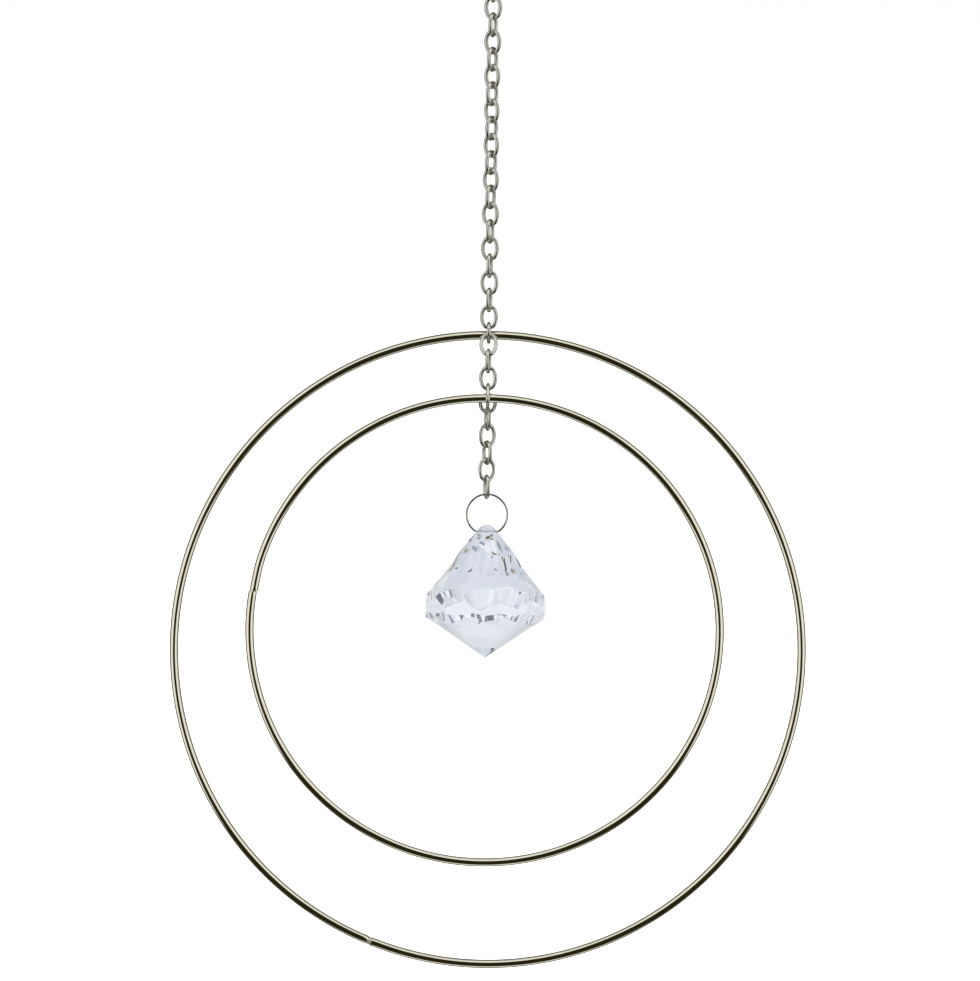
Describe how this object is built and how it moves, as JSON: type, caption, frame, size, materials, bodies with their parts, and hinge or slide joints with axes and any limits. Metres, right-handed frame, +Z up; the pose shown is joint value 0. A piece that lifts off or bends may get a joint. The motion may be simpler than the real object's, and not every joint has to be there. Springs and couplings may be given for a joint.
{
  "type": "crystal suncatcher",
  "caption": "Hanging suncatcher: a cable chain carries two polished wire hoops, one inside the other, with a clear faceted drop on a small ring at their middle.",
  "frame": {"origin": "the point inside the top of the hanging ring where a hook holds the suncatcher", "axes": "+Z up along the hanging chain, -Y the front that faces the viewer, +X to the viewer's right"},
  "size_m": [0.2032, 0.0394, 0.3295],
  "materials": {
    "hoop_metal": "polished",
    "chain_metal": "polished",
    "clear_crystal": "gloss"
  },
  "bodies": {
    "root": {"hanging_ring": "chain_metal", "chain_link_01": "chain_metal", "chain_link_02": "chain_metal", "chain_link_03": "chain_metal", "chain_link_04": "chain_metal", "chain_link_05": "chain_metal", "chain_link_06": "chain_metal", "chain_link_07": "chain_metal", "chain_link_08": "chain_metal", "chain_link_09": "chain_metal", "chain_link_10": "chain_metal", "chain_link_11": "chain_metal", "chain_link_12": "chain_metal", "chain_link_13": "chain_metal", "chain_link_14": "chain_metal", "chain_link_15": "chain_metal", "chain_link_16": "chain_metal", "chain_link_17": "chain_metal", "chain_link_18": "chain_metal", "chain_link_19": "chain_metal", "chain_link_20": "chain_metal", "chain_link_21": "chain_metal", "chain_link_22": "chain_metal", "chain_link_23": "chain_metal", "chain_link_24": "chain_metal", "chain_link_25": "chain_metal", "chain_link_26": "chain_metal", "chain_link_27": "chain_metal", "chain_link_28": "chain_metal", "chain_link_29": "chain_metal", "chain_link_30": "chain_metal", "chain_link_31": "chain_metal", "outer_hoop": "hoop_metal", "inner_hoop": "hoop_metal", "crystal_ring": "chain_metal", "crystal_drop": "clear_crystal"}
  },
  "joints": []
}
